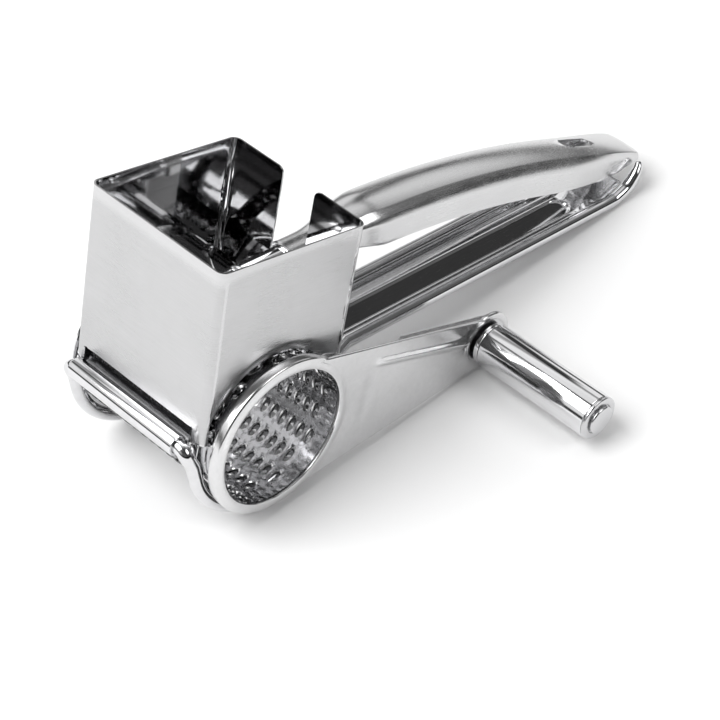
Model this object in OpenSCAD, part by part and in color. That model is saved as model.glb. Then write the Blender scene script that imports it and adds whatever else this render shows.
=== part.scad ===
// Hand-held rotary cheese grater with a hinged hopper, a crank drum and a press handle.
// Every sub-part is drawn in the grater's own frame and stood on the table by stance():
// X runs from the drum towards the handles, Y along the drum's axis with the crank at -Y,
// Z square to the hopper's rim, and the origin is on the drum's axis in the mid-plane.

/* [Stance] */
// Angle that the grater leans back on its tail when it stands on a table
lean = 15.5; // [14:0.5:17]

/* [Drum] */
// Outer radius of the grating cylinder
drum_r = 25.4; // [25:0.1:25.5]
// Thickness of the drum's sheet
drum_t = 0.9; // [0.7:0.1:1.2]
// End of the cylinder on the open side
drum_end = 33; // [32.5:0.1:34]
// Number of rows of holes round the drum
hole_rows = 18; // [12:2:20]
// Number of holes in one row
hole_count = 14; // [10:1:14]
// Distance between two holes of a row
hole_pitch = 4.1; // [4:0.05:4.15]
// Place of a row's first hole along the drum
hole_start = -29.25; // [-29.5:0.25:-28]
// Radius of one grating hole
hole_r = 1.1; // [1:0.1:1.5]

/* [Crank] */
// Outer radius of the ring that closes the crank end of the drum
ring_r = 28.5; // [28:0.1:29]
// Distance from the drum's axis to the grip's axis along the arm
crank_len = 95; // [85:1:100]
// Angle of the arm above the plane of the hopper's rim
crank_angle = 2.8; // [0:0.2:6]
// Half width that the arm narrows to at the grip
tip_r = 9.4; // [9:0.1:10]
// Radius of the round boss behind the grip
boss_r = 11.0; // [10:0.1:11.1]

/* [Grip] */
// Outer radius of the turning grip tube
grip_r = 7.9; // [7.6:0.1:8]
// Radius of the pin that the grip turns on
pin_r = 2.5; // [2:0.1:3]
// Length of the plain grip tube
grip_len = 46.5; // [40:0.5:50]

/* [Hopper] */
// Length of the hopper's mouth from front to back
mouth_len = 61.6; // [60:0.2:63]
// Half of the hopper's outer width
hopper_w = 30; // [29.8:0.1:30.2]
// Height of the rim above the drum's axis
rim_z = 67.2; // [60:0.2:70]
// Thickness of the hopper's sheet
sheet = 0.8; // [0.6:0.1:1]
// Half of the gap between the two back flaps
slot_w = 7.2; // [6.8:0.1:8]

/* [Frame] */
// Radius of the bent rod that carries everything
rod_r = 2.4; // [2.2:0.1:2.5]
// Radius of the rod's bend round the drum
bend_r = 29.6; // [29.6:0.1:30]
// Half distance between the rods beside the drum
bend_y = 28.4; // [28.2:0.1:28.8]
// Half distance between the rods along the lower handle
rail_y = 11.7; // [11.5:0.1:12]
// Outer radius of the hopper's hinge sleeve
sleeve_r = 3.6; // [3.4:0.1:3.8]

/* [Press handle] */
// Height of the handle's crown above the drum's axis
crown_z = 52.6; // [50:0.2:54]
// Radius of the long arch of the handle
crown_arch = 402; // [380:2:430]
// Half width of the plain top face
crown_w = 7; // [6:0.2:8]
// Half width over the skirts
skirt_w = 11; // [10.4:0.1:11]
// Depth of the skirts below the crown
skirt_h = 13.6; // [12:0.2:14]
// Thickness of the handle's sheet
handle_t = 1; // [0.8:0.1:1.2]

/* [Hidden] */

$fn = 96;
eps = 0.05;
// Radial running clearance of a pin in its bore
run = 0.05;
// Clearance between the drum and its half-round seats
seat_gap = 0.35;

axis_h = bend_r + rod_r;            // height of the drum's axis over the table
front_top = -34.6;                  // hopper's corners, seen from the side
back_top = front_top + mouth_len;
front_low = -29.6;
back_low = 29.3;
low_z = 2.6;
corner_r = 3;

hinge_x = -33.2;                    // axis of the hopper's hinge
hinge_z = 0.9;
sleeve_y = [-23.8, 25.2];

pivot_x = 193;                      // axis of the press handle's hinge
pivot_z = 33.2;
pivot_r = 1.4;
knuckle_r = 2.2;

ring_y = -36.5;                     // outer face of the crank ring
plate_t = 1.2;
rim_depth = 3.2;
grip_x = crank_len * cos(crank_angle);
grip_z = crank_len * sin(crank_angle);

rail_slope = tan(7.2);
rail_x0 = 52;                       // where the rods begin to run straight
rail_z0 = 3.9;
rail_x1 = 183;
function rail_z(x) = rail_z0 + (x - rail_x0) * rail_slope;

// ---------------------------------------------------------------- helpers

module stance() {
    translate([0, 0, axis_h]) rotate([0, lean, 0]) children();
}

// A cylinder along Y from y0 to y1 at the point (x, z)
module bar_y(r, y0, y1, x = 0, z = 0) {
    translate([x, y1, z]) rotate([90, 0, 0]) cylinder(r = r, h = y1 - y0);
}

// A side-view outline extruded along Y from y0 to y1
module slab_y(y0, y1) {
    translate([0, y1, 0]) rotate([90, 0, 0]) linear_extrude(y1 - y0) children();
}

// A ring round the drum's axis, turned from a profile of (radius, y) points
module turned(points) {
    rotate([90, 0, 0]) rotate_extrude() polygon([for (p = points) [p[0], -p[1]]]);
}

function unit(v) = v / norm(v);

// Rings of a round tube swept along a route of points, with the side vector kept level
function tube_ring(route, i, r, sides) =
    let (n = len(route),
         t = unit(route[min(i + 1, n - 1)] - route[max(i - 1, 0)]),
         ref = abs(t[1]) > 0.8 ? [0, 0, 1] : [0, 1, 0],
         u = unit(cross(ref, t)),
         v = cross(t, u))
    [for (k = [0 : sides - 1])
        route[i] + r * (cos(k * 360 / sides) * u + sin(k * 360 / sides) * v)];

// Joins equal rings of points into one closed solid. The ends are closed by strips from one
// half of the ring to the other, which suits both a round tube and an open channel.
module loft(rings) {
    n = len(rings);
    m = len(rings[0]);
    last = (n - 1) * m;
    polyhedron(
        points = [for (ring = rings) for (p = ring) p],
        faces = concat(
            [for (k = [0 : m / 2 - 2]) [k, k + 1, m - 2 - k, m - 1 - k]],
            [for (i = [0 : n - 2]) for (k = [0 : m - 1])
                [i * m + k, (i + 1) * m + k, (i + 1) * m + (k + 1) % m, i * m + (k + 1) % m]],
            [for (k = [0 : m / 2 - 2])
                [last + m - 1 - k, last + m - 2 - k, last + k + 1, last + k]]),
        convexity = 8);
}

// A smooth curve through control points (Catmull-Rom), with steps points per span
function spline(p, steps) =
    concat([for (i = [0 : len(p) - 2]) for (s = [0 : steps - 1])
        let (u = s / steps,
             a = p[max(i - 1, 0)], b = p[i], c = p[i + 1], d = p[min(i + 2, len(p) - 1)])
        0.5 * (2 * b + (c - a) * u + (2 * a - 5 * b + 4 * c - d) * u * u
               + (3 * b - a - 3 * c + d) * u * u * u)],
        [p[len(p) - 1]]);

// ---------------------------------------------------------------- frame

bar_half = 24.2;                    // where the straight hinge bar starts to bend
// The rod on one side: hinge bar, bend, arc round the drum, straight rail, and the tail that
// turns up and in to the press handle's end
function rod_route(side) = concat(
    spline([[hinge_x, side * bar_half, hinge_z],
            [hinge_x + 0.05, side * 26, hinge_z - 0.35],
            [hinge_x + 0.6, side * 27.6, hinge_z - 2.1],
            [-bend_r * cos(10) - 0.7, side * (bend_y - 0.2), -bend_r * sin(10)]], 3),
    [for (a = [200 : 10 : 310]) [bend_r * cos(a), side * bend_y, bend_r * sin(a)]],
    spline([[bend_r * cos(318), side * bend_y, bend_r * sin(318)],
            [28, side * 26.6, -13.6],
            [36.5, side * 20.4, -5],
            [44.5, side * 14.2, 1.4],
            [rail_x0, side * rail_y, rail_z0]], 3),
    spline([[rail_x0 + 12, side * rail_y, rail_z(rail_x0 + 12)],
            [rail_x1 - 20, side * rail_y, rail_z(rail_x1 - 20)],
            [rail_x1, side * rail_y, rail_z(rail_x1)],
            [187.2, side * rail_y, 21.5],
            [192.4, side * rail_y, 24.8],
            [195.4, side * (rail_y - 0.1), 29.2],
            [196.9, side * (rail_y - 0.7), 31.7],
            [197.5, side * (rail_y - 1.7), 33]], 3));

module rod_side(side) {
    route = rod_route(side);
    thinning = 9;                   // rings over which the tail gets thinner
    tail_r = 1.2;
    rings = [for (i = [0 : len(route) - 1])
        let (u = smooth(clamp01((i - len(route) + 1 + thinning) / thinning)))
        tube_ring(route, i, mix(rod_r, tail_r, u), 14)];
    loft(rings);
}

module frame_rod() {
    color("silver") stance() union() {
        bar_y(rod_r, -bar_half - 0.2, bar_half + 0.2, hinge_x, hinge_z);
        rod_side(1);
        rod_side(-1);
    }
}

// A half-round seat plate under one end of the drum
module cheek(y0, y1) {
    difference() {
        union() {
            bar_y(bend_r, y0, y1);
            slab_y(y0, y1) translate([-bend_r, -8]) square([2 * bend_r, 10]);
        }
        bar_y(drum_r + seat_gap, y0 - 1, y1 + 1);
        translate([-60, y0 - 1, 2]) cube([120, y1 - y0 + 2, 60]);
    }
}

module right_cheek() {
    color("gainsboro") stance() cheek(-bend_y - 0.5, -bend_y + 0.5);
}

module left_cheek() {
    color("gainsboro") stance() cheek(bend_y - 0.5, bend_y + 0.5);
}

// Sloping sheet that ties the two rods together behind the drum
module rear_bridge() {
    lo = [28.4, -13.2];
    hi = [50, 2.6];
    n = unit([-(hi[1] - lo[1]), hi[0] - lo[0]]);
    half = sheet / 2;
    color("silver") stance() loft([
        [[lo[0] - half * n[0], -25.6, lo[1] - half * n[1]],
         [lo[0] - half * n[0], 25.6, lo[1] - half * n[1]],
         [lo[0] + half * n[0], 25.6, lo[1] + half * n[1]],
         [lo[0] + half * n[0], -25.6, lo[1] + half * n[1]]],
        [[hi[0] - half * n[0], -10.6, hi[1] - half * n[1]],
         [hi[0] - half * n[0], 10.6, hi[1] - half * n[1]],
         [hi[0] + half * n[0], 10.6, hi[1] + half * n[1]],
         [hi[0] + half * n[0], -10.6, hi[1] + half * n[1]]]]);
}

// Half of the trough's section from the rail to the middle, as (y, z) points
tray_half = [[rail_y - rod_r + 0.6, 1.4], [8.9, -0.2], [8.3, -1.8], [7.2, -2.6], [4.6, -2.8],
             [4.1, -3.3], [0, -3.4]];

module tray_outline() {
    upper = concat(tray_half, [for (i = [len(tray_half) - 2 : -1 : 0])
        [-tray_half[i][0], tray_half[i][1]]]);
    lower = [for (i = [len(upper) - 1 : -1 : 0])
        let (p = upper[i]) [p[0] * (1 + 0.6 / 12), p[1] - sheet]];
    polygon(concat(upper, lower));
}

// Trough of the lower handle between the rails, and its end plate up to the hinge
module lower_handle() {
    run_len = 124.5;
    foot = [50.2, rail_z(50.2)];
    fold = [180, rail_z(180) - 0.6];
    end = [172.5, rail_z(172.5) - 4.1];
    color("silver") stance() union() {
        translate([foot[0], 0, foot[1]]) rotate([0, -7.2, 0]) rotate([90, 0, 90])
            linear_extrude(run_len) tray_outline();
        slab_y(-9.8, 9.8) polygon([end, fold, [190.2, 25.4], [189.6, 26.1],
                                   [fold[0] - 0.4, fold[1] + 0.7], [end[0] - 0.4, end[1] + 0.7]]);
    }
}

// Tongue on the end plate, with the knuckle that the hinge pin sits in
module hinge_knuckle() {
    color("silver") stance() difference() {
        union() {
            slab_y(-4.4, 4.4) polygon([[188.6, 25.6], [189.2, 26.4], [192.1, 28.7], [192.5, pivot_z],
                                       [193.5, pivot_z], [193.2, 28.2], [189.9, 25.5]]);
            bar_y(knuckle_r, -4.4, 4.4, pivot_x, pivot_z);
        }
        bar_y(pivot_r, -6, 6, pivot_x, pivot_z);
    }
}

module rear_hinge_pin() {
    color("dimgray") stance() bar_y(pivot_r, -8.5, 8.5, pivot_x, pivot_z);
}

// ---------------------------------------------------------------- hopper

// A level rounded rectangle, one thin slice of the leaning hopper
module hopper_slice(x0, x1, w, z, inset) {
    r = corner_r - inset;
    for (x = [x0 + inset + r, x1 - inset - r]) for (y = [-w + inset + r, w - inset - r])
        translate([x, y, z]) cylinder(r = r, h = 0.02, $fn = 32);
}

// The leaning box between two levels, grown past both ends when it is used as a cutter
module hopper_block(inset, over) {
    dx0 = (front_low - front_top) / (rim_z - low_z) * over;
    dx1 = (back_low - back_top) / (rim_z - low_z) * over;
    hull() {
        hopper_slice(front_top - dx0, back_top - dx1, hopper_w, rim_z - 0.02 + over, inset);
        hopper_slice(front_low + dx0, back_low + dx1, hopper_w + 0.3, low_z - over, inset);
    }
}

// Edge of the side wall, turned in to the drum's neck over half a turn
module arch_flare(side) {
    r0 = drum_r + 0.6;
    w = hopper_w;
    outline = [[r0 + 4.6, w], [r0 + 4.6, w - sheet], [r0 + 2.2, w - 1.2], [r0 + 0.9, w - 1.9],
               [r0, w - 2.6], [r0, w - 1.7], [r0 + 1, w - 0.9], [r0 + 2.4, w - 0.35]];
    difference() {
        turned([for (p = outline) [p[0], side * p[1]]]);
        translate([-60, -60, low_z - 120]) cube([120, 120, 120]);
        translate([-60, -60, low_z - 1]) cube([120, 120, 1.4]);
    }
}

// Strip that steps in under the front wall and runs out to the hinge sleeve
module hinge_strip() {
    slab_y(-24.6, 25.4) polygon([[-30.15, 8.2], [-30.1, 7.3], [-28.3, 6.6], [-28.1, 3.3],
                                 [-30, 2.3], [-29.75, 1.5], [-27.35, 2.9], [-27.5, 7.1],
                                 [-29.4, 7.9], [-29.4, 8.2]]);
}

module hopper_shell() {
    r0 = drum_r + 0.6;
    color("lightgray") stance() union() {
        difference() {
            hopper_block(0, 0);
            hopper_block(sheet, 6);
            bar_y(r0 + 1, -40, 40);
            translate([0, -slot_w, -10]) cube([60, 2 * slot_w, 120]);
            translate([-45, -24.6, -10]) cube([30, 50, 17.4]);
        }
        for (side = [-1, 1]) arch_flare(side);
        hinge_strip();
    }
}

module hinge_sleeve() {
    color("whitesmoke") stance() difference() {
        bar_y(sleeve_r, sleeve_y[0], sleeve_y[1], hinge_x, hinge_z);
        bar_y(rod_r + run, sleeve_y[0] - 1, sleeve_y[1] + 1, hinge_x, hinge_z);
        // room for the bend on the longer side
        bar_y(rod_r + 0.6, bar_half - 0.4, 30, hinge_x, hinge_z);
    }
}

// ---------------------------------------------------------------- drum

module drum_holes() {
    // a row's holes lie a little past its middle, at the steep end of the cups
    past = 2.8;
    for (row = [0 : hole_rows - 1]) {
        shift = row % 2 == 0 ? 0 : hole_pitch / 2;
        for (i = [0 : hole_count - 1])
            rotate([0, row * 360 / hole_rows + past, 0])
                translate([0, hole_start + i * hole_pitch + shift, drum_r - 3])
                    cylinder(r = hole_r, h = 6, $fn = 24);
    }
}

module drum_cylinder() {
    r1 = drum_r;
    r2 = drum_r - drum_t;
    color("silver") stance() difference() {
        turned([[r2, ring_y + plate_t], [r1, ring_y + plate_t], [r1, drum_end - 0.9],
                [r1 + 2.1, drum_end - 0.9], [r1 + 2.1, drum_end + 0.3], [r2, drum_end + 0.3]]);
        drum_holes();
    }
}

// Points of an arc from angle a0 to a1 round c
function arc(c, r, a0, a1, steps) =
    [for (i = [0 : steps]) let (t = a0 + (a1 - a0) * i / steps) c + r * [cos(t), sin(t)]];

// Outline of the crank's arm: its two edges taper from the ring, as if to a circle of radius r1
// round the grip, and meet the larger boss of radius rb there
module arm_outline(r0, r1, rb) {
    a = asin((r0 - r1) / crank_len);
    b = 90 - a + acos(r1 / rb);
    polygon(concat([r0 * [sin(a), -cos(a)]], arc([crank_len, 0], rb, -b, b, 36),
                   [r0 * [sin(a), cos(a)]]));
}

// Moves a shape drawn along the arm to the arm's angle
module along_arm() {
    rotate([0, -crank_angle, 0]) children();
}

// Arm with its edges turned back towards the drum between the ring and the flat boss
module crank_arm(y0, y1) {
    flange = 2.6;
    flange_x = 50;
    edge = 1.1;
    difference() {
        slab_y(y0, y1 + flange) arm_outline(ring_r - 2, tip_r, boss_r);
        slab_y(y1, y1 + flange + 1) arm_outline(ring_r - 2 - edge, tip_r - edge, boss_r - edge);
        translate([-60, y1, -60]) cube([60 + flange_x, flange + 1, 120]);
        bar_y(boss_r + edge, y1, y1 + flange + 1, crank_len, 0);
    }
}

// Long raised rib on the arm's outer face
module crank_rib() {
    from = [41, 12.8];
    to = [84, 3.4];
    t = atan2(to[1] - from[1], to[0] - from[0]);
    slab_y(ring_y - 0.8, ring_y + eps)
        polygon(concat(arc(from, 1.5, t + 90, t + 270, 10), arc(to, 1.5, t - 90, t + 90, 10)));
}

module crank_plate() {
    rim = 1.1;
    back = ring_y + plate_t;
    color("silver") stance() difference() {
        union() {
            // the ring's seam is turned away from the arm
            rotate([0, 180, 0]) difference() {
                bar_y(ring_r, ring_y, ring_y + rim_depth);
                bar_y(ring_r - rim, back, ring_y + rim_depth + 1);
            }
            along_arm() {
                crank_arm(ring_y, back);
                crank_rib();
            }
        }
        bar_y(drum_r - drum_t, ring_y - 1, back + 1);
        bar_y(pin_r, ring_y - 2, back + 5, grip_x, grip_z);
    }
}

// ---------------------------------------------------------------- grip

grip_y0 = ring_y - 0.7;             // inner face of the grip's base
grip_y1 = grip_y0 - 2.6;            // base collar to tube
grip_y2 = grip_y1 - grip_len;       // tube to end cap
grip_y3 = grip_y2 - 1.4;            // outer face of the end cap

module grip_pin() {
    color("gainsboro") stance() union() {
        bar_y(pin_r, grip_y3 - 0.8, ring_y + plate_t + 1.6, grip_x, grip_z);
        bar_y(5.1, grip_y3 - 1.3, grip_y3 - 0.3, grip_x, grip_z);
        bar_y(3.4, ring_y + plate_t + 0.8, ring_y + plate_t + 1.7, grip_x, grip_z);
    }
}

module grip_washer() {
    color("silver") stance() difference() {
        bar_y(5, ring_y + plate_t, ring_y + plate_t + 0.8, grip_x, grip_z);
        bar_y(pin_r, ring_y, ring_y + plate_t + 3, grip_x, grip_z);
    }
}

module grip_tube() {
    color("whitesmoke") stance() difference() {
        bar_y(grip_r, grip_y2, grip_y1, grip_x, grip_z);
        bar_y(grip_r - 0.7, grip_y2 - 1, grip_y1 + 1, grip_x, grip_z);
    }
}

module grip_base_bush() {
    color("dimgray") stance() difference() {
        union() {
            bar_y(grip_r - 0.2, grip_y1, grip_y0, grip_x, grip_z);
            bar_y(grip_r - 0.7, grip_y1 - 7, grip_y1 + eps, grip_x, grip_z);
        }
        bar_y(pin_r + run, grip_y1 - 9, grip_y0 + 1, grip_x, grip_z);
    }
}

module grip_end_cap() {
    color("silver") stance() difference() {
        union() {
            bar_y(grip_r, grip_y3, grip_y2, grip_x, grip_z);
            bar_y(grip_r - 0.7, grip_y2 - eps, grip_y2 + 7, grip_x, grip_z);
        }
        bar_y(pin_r + run, grip_y3 - 1, grip_y2 + 9, grip_x, grip_z);
    }
}

// ---------------------------------------------------------------- press handle

neck_z = 44.45;                     // top of the neck where it meets the back wall
neck_x = 34;
neck_slope = 0.095;
shoulder_x = 60;
function mix(a, b, u) = a + (b - a) * u;
function clamp01(u) = max(0, min(1, u));
function smooth(u) = u * u * (3 - 2 * u);
function arch_z(x) = crown_z - pow(x - 82, 2) / (2 * crown_arch);
// Height of the crown line: the neck, an S-bend, and the long arch
function crown(x) =
    x <= neck_x ? neck_z - (neck_x - x) * neck_slope :
    x >= shoulder_x ? arch_z(x) :
    mix(neck_z + (x - neck_x) * neck_slope, arch_z(x), smooth((x - neck_x) / (shoulder_x - neck_x)));

// Section of the channel at x, from one skirt over the crown to the other and back inside
function handle_section(x) =
    let (u = smooth(clamp01((x - 30) / 34)),
         e = clamp01((x - 183) / 16.7),
         d = clamp01((x - 160) / 26),
         wt = mix(mix(3, crown_w, u), 7.5, clamp01((x - 165) / 34)),
         flat = smooth(clamp01((x - 165) / 34)),
         ws = mix(mix(4.4, skirt_w - 0.7, u), 8.3, d),
         wb = mix(mix(4.6, skirt_w, u), 8.5, d),
         c = mix(mix(0.4, 1.9, u), 0.5, flat),
         hb = mix(mix(4.4, skirt_h, u), 3, e) - 2 * clamp01((x - 150) / 30) * (1 - e),
         hs = mix(1.6, min(6 - 2.4 * d, hb - 0.8), u),
         half = [[0, 0], [wt / 3, -c / 9], [2 * wt / 3, -4 * c / 9], [wt, -c],
                 [mix(wt, ws, 0.42), mix(-c, -hs, 0.3)], [mix(wt, ws, 0.78), mix(-c, -hs, 0.64)],
                 [ws, -hs], [wb, -hb]],
         n = len(half) - 1,
         z = crown(x),
         shrink = function (p) [p[0] * (ws - handle_t) / ws, p[1] - handle_t * (1 - 0.45 * p[0] / ws)])
    concat([for (i = [n : -1 : 0]) [x, -half[i][0], z + half[i][1]]],
           [for (i = [1 : n]) [x, half[i][0], z + half[i][1]]],
           [[x, wb - handle_t, z - hb]],
           [for (i = [n - 1 : -1 : 1]) let (q = shrink(half[i])) [x, q[0], z + q[1]]],
           [[x, 0, z - handle_t]],
           [for (i = [1 : n - 1]) let (q = shrink(half[i])) [x, -q[0], z + q[1]]],
           [[x, -wb + handle_t, z - hb]]);

handle_x0 = 24;
handle_x1 = 199.7;
hang_x = 170;                       // middle of the hanging slot
hang_len = 17.6;
hang_r = 2.7;

module hanging_slot() {
    half = hang_len / 2 - hang_r;
    translate([hang_x, 0, 30]) {
        for (x = [-half, half]) translate([x, 0, 0]) cylinder(r = hang_r, h = 20, $fn = 48);
        translate([-half, -hang_r, 0]) cube([2 * half, 2 * hang_r, 20]);
    }
}

module press_handle() {
    stations = concat([for (x = [handle_x0 : 3 : 66]) x], [for (x = [71 : 6 : 179]) x],
                      [183, 187, 191, 195, handle_x1]);
    color("lightgray") stance() difference() {
        loft([for (i = [len(stations) - 1 : -1 : 0]) handle_section(stations[i])]);
        hanging_slot();
        bar_y(pivot_r + run, -20, 20, pivot_x, pivot_z);
    }
}

neck_w = 2.7;
// Top of the neck, just under the handle's crown
function neck_top(x) = neck_z - (neck_x - x) * neck_slope - handle_t - 0.03;

module press_neck() {
    x0 = -13;
    x1 = 36;
    x2 = 13;
    color("whitesmoke") stance() union() {
        slab_y(-neck_w, neck_w) polygon([[x0, neck_top(x0)], [x1, neck_top(x1)],
                                         [x1, neck_top(x1) - 1.2], [x0, neck_top(x0) - 1.2]]);
        for (side = [-1, 1])
            slab_y(side * (neck_w - 0.4) - 0.4, side * (neck_w - 0.4) + 0.4)
                polygon([[x2, neck_top(x2) - 1], [x1, neck_top(x1) - 1],
                         [x1, neck_top(x1) - 3.6], [x2 + 4, neck_top(x2) - 3.2]]);
    }
}

plate_r = 27.6;                     // inner radius of the curved press plate
plate_top = neck_top(0) - 1.2 - 0.05;
plate_half = 21;
plate_w = 26;

module press_plate() {
    cz = plate_top - plate_r - 1;
    color("silver") stance() intersection() {
        difference() {
            bar_y(plate_r + 1, -plate_w, plate_w, 0, cz);
            bar_y(plate_r, -plate_w - 1, plate_w + 1, 0, cz);
        }
        translate([-plate_half, -40, cz]) cube([2 * plate_half, 80, 60]);
    }
}

module press_rivets() {
    low = plate_top - 2.6;          // outer face of the heads under the plate
    color("gainsboro") stance() for (x = [-6, 5]) {
        top = neck_top(x);
        translate([x, 0, low]) cylinder(r = 1.2, h = top - low, $fn = 32);
        translate([x, 0, top]) cylinder(r = 2, h = 0.6, $fn = 32);
        translate([x, 0, low]) cylinder(r = 2, h = 0.8, $fn = 32);
    }
}

// ---------------------------------------------------------------- selection

frame_rod();
right_cheek();
left_cheek();
rear_bridge();
lower_handle();
hinge_knuckle();
rear_hinge_pin();
hopper_shell();
hinge_sleeve();
drum_cylinder();
crank_plate();
grip_pin();
grip_washer();
grip_tube();
grip_base_bush();
grip_end_cap();
press_handle();
press_neck();
press_plate();
press_rivets();
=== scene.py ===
"""Looks of the hand-held rotary cheese grater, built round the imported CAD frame.

Shapes are drawn in the grater's own frame in millimetres: X runs from the drum to the
handles, Y along the drum's axis with the crank at -Y, Z square to the hopper's rim.
row() stands them on the table, in metres, where the CAD has them.
"""

import math

import bmesh
import bpy
from mathutils import Matrix, Vector


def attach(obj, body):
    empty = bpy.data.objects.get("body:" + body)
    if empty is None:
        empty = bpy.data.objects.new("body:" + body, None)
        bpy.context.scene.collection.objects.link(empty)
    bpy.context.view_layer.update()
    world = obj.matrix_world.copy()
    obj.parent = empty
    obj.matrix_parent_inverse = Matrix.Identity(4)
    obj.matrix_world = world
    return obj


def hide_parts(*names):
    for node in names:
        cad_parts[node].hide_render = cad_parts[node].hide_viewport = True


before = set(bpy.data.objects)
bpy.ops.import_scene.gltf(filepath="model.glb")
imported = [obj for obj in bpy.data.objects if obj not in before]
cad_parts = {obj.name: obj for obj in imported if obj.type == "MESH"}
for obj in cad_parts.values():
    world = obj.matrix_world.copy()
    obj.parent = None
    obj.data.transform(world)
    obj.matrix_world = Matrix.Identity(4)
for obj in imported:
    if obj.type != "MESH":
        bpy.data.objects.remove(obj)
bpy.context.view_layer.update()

LEAN = math.radians(15.5)
AXIS_H = 32.0
MM = 0.001

DRUM_R, DRUM_T = 25.4, 0.9
RING_R, RING_Y = 28.5, -36.5
HINGE_X, HINGE_Z = -33.2, 0.9
PIVOT_X, PIVOT_Z = 193.0, 33.2
CRANK_LEN, CRANK_ANGLE = 95.0, math.radians(2.8)
GRIP_X, GRIP_Z = CRANK_LEN * math.cos(CRANK_ANGLE), CRANK_LEN * math.sin(CRANK_ANGLE)
GRIP_R, GRIP_LEN = 7.9, 46.5
TIP_R, BOSS_R = 9.4, 11.0
RAIL_Y, ROD_R = 11.7, 2.4
BEND_R, BEND_Y = 29.6, 28.4


def row(p):
    """A point of the grater's own frame, in mm, in the row frame, in metres."""
    c, s = math.cos(LEAN), math.sin(LEAN)
    return Vector((p[0] * c + p[2] * s, p[1], AXIS_H - p[0] * s + p[2] * c)) * MM


def mix(a, b, u):
    return a + (b - a) * u


def clamp01(u):
    return max(0.0, min(1.0, u))


def smooth(u):
    u = clamp01(u)
    return u * u * (3 - 2 * u)


def step(a, b, x):
    """0 before a, 1 after b, smooth between."""
    return smooth((x - a) / (b - a))


def bump(x, half):
    """1 at 0, falling smoothly to 0 at half."""
    return 1 - smooth(abs(x) / half)


# ------------------------------------------------------------------ mesh helpers

def grid(rows, close_rows=False, close_cols=False):
    """Vertices and quads of a grid of points."""
    n, m = len(rows), len(rows[0])
    verts = [p for r in rows for p in r]
    faces = []
    for i in range(n if close_rows else n - 1):
        for k in range(m if close_cols else m - 1):
            i2, k2 = (i + 1) % n, (k + 1) % m
            faces.append((i * m + k, i2 * m + k, i2 * m + k2, i * m + k2))
    return verts, faces


def join(*parts):
    """Several (vertices, faces) as one."""
    verts, faces = [], []
    for v, f in parts:
        base = len(verts)
        verts += v
        faces += [tuple(i + base for i in face) for face in f]
    return verts, faces


def fillet(points, r, steps=3, closed=True):
    """Corners of a flat outline rounded with a short curve. r is one radius or one per point."""
    out = []
    n = len(points)
    for i, p in enumerate(points):
        size = r[i] if isinstance(r, (list, tuple)) else r
        if size <= 0 or (not closed and i in (0, n - 1)):
            out.append(tuple(p))
            continue
        a, b, c = Vector(points[i - 1]), Vector(p), Vector(points[(i + 1) % n])
        d = min(size, (a - b).length * 0.48, (c - b).length * 0.48)
        q1, q2 = b + (a - b).normalized() * d, b + (c - b).normalized() * d
        for k in range(steps + 1):
            t = k / steps
            out.append(tuple((1 - t) ** 2 * q1 + 2 * t * (1 - t) * b + t * t * q2))
    return out


def lathe(profile, x=0.0, z=0.0, axis="Y", sides=64, closed=True):
    """A turned shape. The profile is (radius, place along the axis); closed makes a ring."""
    rings = []
    for r, h in profile:
        ring = []
        for k in range(sides):
            a = 2 * math.pi * k / sides
            c, s = r * math.cos(a), r * math.sin(a)
            ring.append((x + c, h, z + s) if axis == "Y" else (x + c, s, z + h))
        rings.append(ring)
    return grid(rings, close_rows=closed, close_cols=True)


def plate(outline, y0, y1, edge=0.2):
    """A flat plate with eased edges from a closed (x, z) outline, between y0 and y1."""
    def inset(d):
        n = len(outline)
        out = []
        for i in range(n):
            a, b, c = (Vector(outline[j % n]) for j in (i - 1, i, i + 1))
            t1, t2 = (b - a).normalized(), (c - b).normalized()
            t = (t1 + t2).normalized()
            out.append(b + Vector((t.y, -t.x)) * -d * side / max(0.4, t.dot(t2)))
        return out
    area = sum(outline[i - 1][0] * outline[i][1] - outline[i][0] * outline[i - 1][1]
               for i in range(len(outline)))
    side = 1 if area > 0 else -1
    rows = [[(p[0], y, p[1]) for p in inset(d)]
            for d, y in ((edge, y0), (0, y0 + edge), (0, y1 - edge), (edge, y1))]
    verts, faces = grid(rows, close_cols=True)
    n = len(outline)
    faces.append(tuple(range(n)))
    faces.append(tuple(range(3 * n, 4 * n)))
    return verts, faces


def sweep(route, radii, sides=24):
    """A round bar along a route of points, with a radius at each, closed at both ends."""
    pts = [Vector(p) for p in route]
    n = len(pts)
    tangents = [(pts[min(i + 1, n - 1)] - pts[max(i - 1, 0)]).normalized() for i in range(n)]
    u = tangents[0].orthogonal().normalized()
    rings = []
    for i in range(n):
        t = tangents[i]
        u = (u - t * u.dot(t)).normalized()
        v = t.cross(u)
        r = radii[i]
        rings.append([tuple(pts[i] + r * (math.cos(2 * math.pi * k / sides) * u
                                          + math.sin(2 * math.pi * k / sides) * v))
                      for k in range(sides)])
    verts, faces = grid(rings, close_cols=True)
    faces.append(tuple(range(sides)))
    faces.append(tuple((n - 1) * sides + k for k in range(sides)))
    return verts, faces


def spline(p, steps):
    """Catmull-Rom curve through control points."""
    pts = [Vector(q) for q in p]
    out = []
    for i in range(len(pts) - 1):
        a, b, c, d = pts[max(i - 1, 0)], pts[i], pts[i + 1], pts[min(i + 2, len(pts) - 1)]
        for k in range(steps):
            u = k / steps
            out.append(0.5 * (2 * b + (c - a) * u + (2 * a - 5 * b + 4 * c - d) * u * u
                              + (3 * b - a - 3 * c + d) * u ** 3))
    return out + [pts[-1]]


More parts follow.
